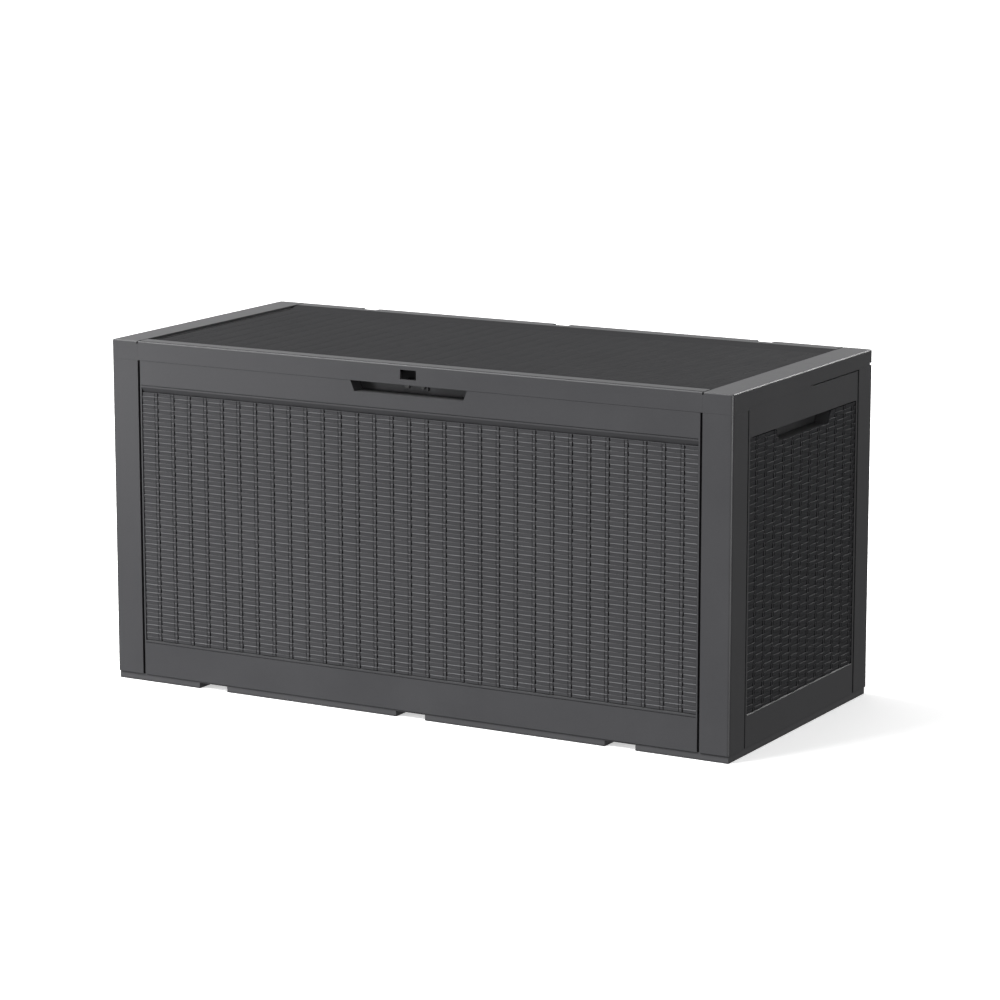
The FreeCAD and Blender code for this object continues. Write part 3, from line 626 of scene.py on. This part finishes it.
@dataclass
class Lid:
    """The lid's middle, end rails, tubes and woven top."""

    finish: bpy.types.Material
    woven: bpy.types.Material
    tube_finish: bpy.types.Material
    recess: float = 5.5 * MM
    field_half: float = 214.5 * MM
    field_clear: float = 0.3 * MM
    relief: float = 0.3
    fade_mm: float = 5.0
    shoulder_outer: float = 241.5 * MM
    slack: float = 0.1 * MM
    steepest: float = 0.9
    weave: Weave = Weave(gap_level=2.3, pit_level=2.3, stake_level=2.7)

    def build(self) -> None:
        """Dress the lid and seat its woven field."""
        dress(["lid_panel", "left_lid_end_rail", "right_lid_end_rail"], self.finish)
        dress(["front_lid_tube", "rear_lid_tube"], self.tube_finish)
        self.darken_hollow()
        low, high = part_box("lid_panel")
        split = NEAR_COLUMNS * Weave().column * MM
        half = self.field_half - self.field_clear
        start = Vector((low.x + self.field_clear, -half, high.z - self.recess))
        length = high.x - low.x - 2 * self.field_clear
        for name, first, size in (("left", 0.0, split), ("right", split, length - split)):
            corner = start + Vector((first, 0, 0))
            WovenField("lid_weave_" + name, Side.TOP, corner, size, 2 * half, relief=self.relief,
                       fade=self.fade_mm, weave=self.weave).build("lid", "lid_polypropylene",
                                                                  self.woven)

    def darken_hollow(self) -> None:
        """Give the sloped shoulders and the plate under the weave the field's finish: rough, and darkened
        as painted shade.
        """
        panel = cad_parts["lid_panel"].data
        panel.materials.append(self.woven)
        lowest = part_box("lid_panel")[1].z - self.recess - self.slack
        for face in panel.polygons:
            inside = abs(face.center.y) < self.shoulder_outer - self.slack
            if inside and face.center.z > lowest and face.normal.z > self.steepest:
                face.material_index = 1


@dataclass
class Fittings:
    """Hinges, stays, padlock tab and their fasteners."""

    nylon: bpy.types.Material
    steel: bpy.types.Material
    tab: bpy.types.Material
    dark_steel: bpy.types.Material

    def build(self) -> None:
        """Dress the moulded fittings and the steel ones."""
        hinges = ("left", "centre", "right")
        sides = ("left", "right")
        nylon = [h + part for h in hinges for part in ("_hinge_bracket", "_hinge_leaf")]
        nylon += [s + part for s in sides for part in ("_stay_arm", "_stay_bracket")]
        steel = ["hinge_bracket_screws", "hinge_leaf_screws"]
        steel += [h + "_hinge_pin" for h in hinges]
        steel += [s + part for s in sides for part in ("_stay_stud", "_stay_pivot_pin")]
        dress(nylon, self.nylon)
        dress(steel, self.steel)
        dress(["padlock_tab"], self.tab)
        dress(["padlock_tab_screws"], self.dark_steel)


# ---- studio ---------------------------------------------------------------------------------

@dataclass
class Lamp:
    """One soft light that looks at the box: a round panel, or a far and broad one.

    A panel's size is its diameter in metres and its power is in watts. A far light's size is its
    angle in degrees and its power is in watts per square metre.
    """

    name: str
    place: Vector
    size: float
    power: float
    aim: Vector
    far: bool = False
    glossy_only: bool = False

    def build(self) -> None:
        """Hang the light."""
        data = bpy.data.lights.new(self.name, "SUN" if self.far else "AREA")
        if self.far:
            data.angle = math.radians(self.size)
        else:
            data.shape = "DISK"
            data.size = self.size
        data.energy = self.power
        lamp = bpy.data.objects.new(self.name, data)
        lamp.location = self.place
        lamp.visible_diffuse = not self.glossy_only
        lamp.rotation_euler = (self.aim - self.place).to_track_quat("-Z", "Y").to_euler()
        bpy.context.scene.collection.objects.link(lamp)


@dataclass
class Studio:
    """Pale floor, soft light and the camera."""

    focal_mm: float = 133.07
    sensor_mm: float = 36.0
    azimuth: float = 29.479
    elevation: float = 11.109
    camera_place: Vector = Vector((3.11767, -5.47585, 1.56830))
    far_clip: float = 100.0
    floor_half: float = 30.0
    floor_glow: float = 0.55
    surround_strength: float = 0.35
    aim: Vector = Vector((0, 0, 0.3))

    def build(self) -> None:
        """Set the whole studio."""
        self.floor()
        self.world()
        self.lights()
        bpy.context.scene.view_settings.view_transform = "Standard"
        self.camera()

    def lights(self) -> None:
        """A high key from the left, two lights over the lid, a low fill and two edge lights."""
        lamps = (Lamp("key", Vector((-4.8, -5.2, 7.0)), 30.0, 4.3, self.aim, far=True),
                 Lamp("overhead", Vector((-1.5, 1.5, 9.0)), 40.0, 0.8, self.aim, far=True),
                 Lamp("left_overhead", Vector((-1.6, 0.2, 2.6)), 1.2, 60.0, self.aim),
                 Lamp("left_panel", Vector((-2.0, -2.0, 0.45)), 1.0, 27.0, self.aim),
                 Lamp("edge_panel", Vector((1.45, 3.85, 2.8)), 3.0, 320.0, self.aim, glossy_only=True),
                 Lamp("corner_panel", Vector((4.3, -2.5, 0.8)), 2.0, 700.0, self.aim, glossy_only=True))
        for lamp in lamps:
            lamp.build()

    def floor(self) -> None:
        """A plain pale floor under the box, which glows a little so that shadows stay faint."""
        mesh = bpy.data.meshes.new("studio_floor")
        h = self.floor_half
        mesh.from_pydata([(-h, -h, 0), (h, -h, 0), (h, h, 0), (-h, h, 0)], [], [(0, 1, 2, 3)])
        ground = bpy.data.objects.new("studio_floor", mesh)
        ground.visible_diffuse = False
        ground.visible_glossy = False
        bpy.context.scene.collection.objects.link(ground)
        material = bpy.data.materials.new("studio_paper")
        material.use_nodes = True
        shader = material.node_tree.nodes["Principled BSDF"]
        shader.inputs["Base Color"].default_value = linear("f4f4f4")
        shader.inputs["Roughness"].default_value = 0.95
        shader.inputs["Specular IOR Level"].default_value = 0.0
        shader.inputs["Emission Color"].default_value = WHITE
        shader.inputs["Emission Strength"].default_value = self.floor_glow
        mesh.materials.append(material)

    def world(self) -> None:
        """An even white surround."""
        world = bpy.data.worlds.new("studio_surround")
        world.use_nodes = True
        sky = world.node_tree.nodes["Background"]
        sky.inputs["Color"].default_value = WHITE
        sky.inputs["Strength"].default_value = self.surround_strength
        bpy.context.scene.world = world

    def camera(self) -> None:
        """The camera, aimed by its azimuth and elevation."""
        data = bpy.data.cameras.new("camera")
        data.lens = self.focal_mm
        data.sensor_width = self.sensor_mm
        data.clip_end = self.far_clip
        camera = bpy.data.objects.new("camera", data)
        camera.location = self.camera_place
        camera.rotation_euler = Euler((math.radians(90 - self.elevation), 0, math.radians(self.azimuth)))
        bpy.context.scene.collection.objects.link(camera)
        bpy.context.scene.camera = camera


def main() -> None:
    """Build every sub-assembly and the studio."""
    logging.basicConfig(level=logging.INFO)
    wall = MouldedPolypropylene("moulded_polypropylene_wall", "434345", "474749", "4a4a4b").build()
    # the weave's much lighter up-facing tint is a painted highlight along each strand's upper ledge
    woven = MouldedPolypropylene("moulded_polypropylene_weave", "424244", "464648", "68686a",
                                 gloss=0.1, crevice_mm=2.5, edge_round_mm=0.1).build()
    # the end walls' weave is a darker, almost gloss-free copy of the weave plastic: painted shade on the
    # end walls
    end_woven = MouldedPolypropylene("moulded_polypropylene_end_weave", "3e3e40", "424244", "404042",
                                     gloss=0.02, crevice_mm=2.5, edge_round_mm=0.1).build()
    lid = MouldedPolypropylene("moulded_polypropylene_lid", "434345", "474749", "4a4a4b").build()
    # the lid's weave is a much darker copy of the lid plastic: painted shade standing in for the dull
    # shading of the woven top
    shaded_lid_weave = MouldedPolypropylene("moulded_polypropylene_lid_weave", "1f1f20", "232324", "232324",
                                     roughness=0.75, gloss=0.05, crevice_mm=2.0,
                                     edge_round_mm=0.1).build()
    # the floor tray is a lighter copy of the wall plastic: painted light that lifts the shaded base band
    # at the foot
    floor = MouldedPolypropylene("moulded_polypropylene_floor", "4c4c4e", "505052", "505051").build()
    nylon = MouldedNylon("moulded_nylon", "232427", "3a3b3e").build()
    steel = ZincPlatedSteel("zinc_plated_steel", "b9bcc0", "c8c9cb").build()
    tube = PowderCoatedSteel("powder_coated_steel", "26272a", "2c2d30").build()
    blackened = PowderCoatedSteel("powder_coated_screw_steel", "1c1c1e", "222224").build()
    Walls(wall, woven, end_woven).build()
    Posts(lid, floor).build()
    Lid(lid, shaded_lid_weave, tube).build()
    Fittings(nylon, steel, wall, blackened).build()
    Studio().build()


if __name__ == "__main__":
    main()
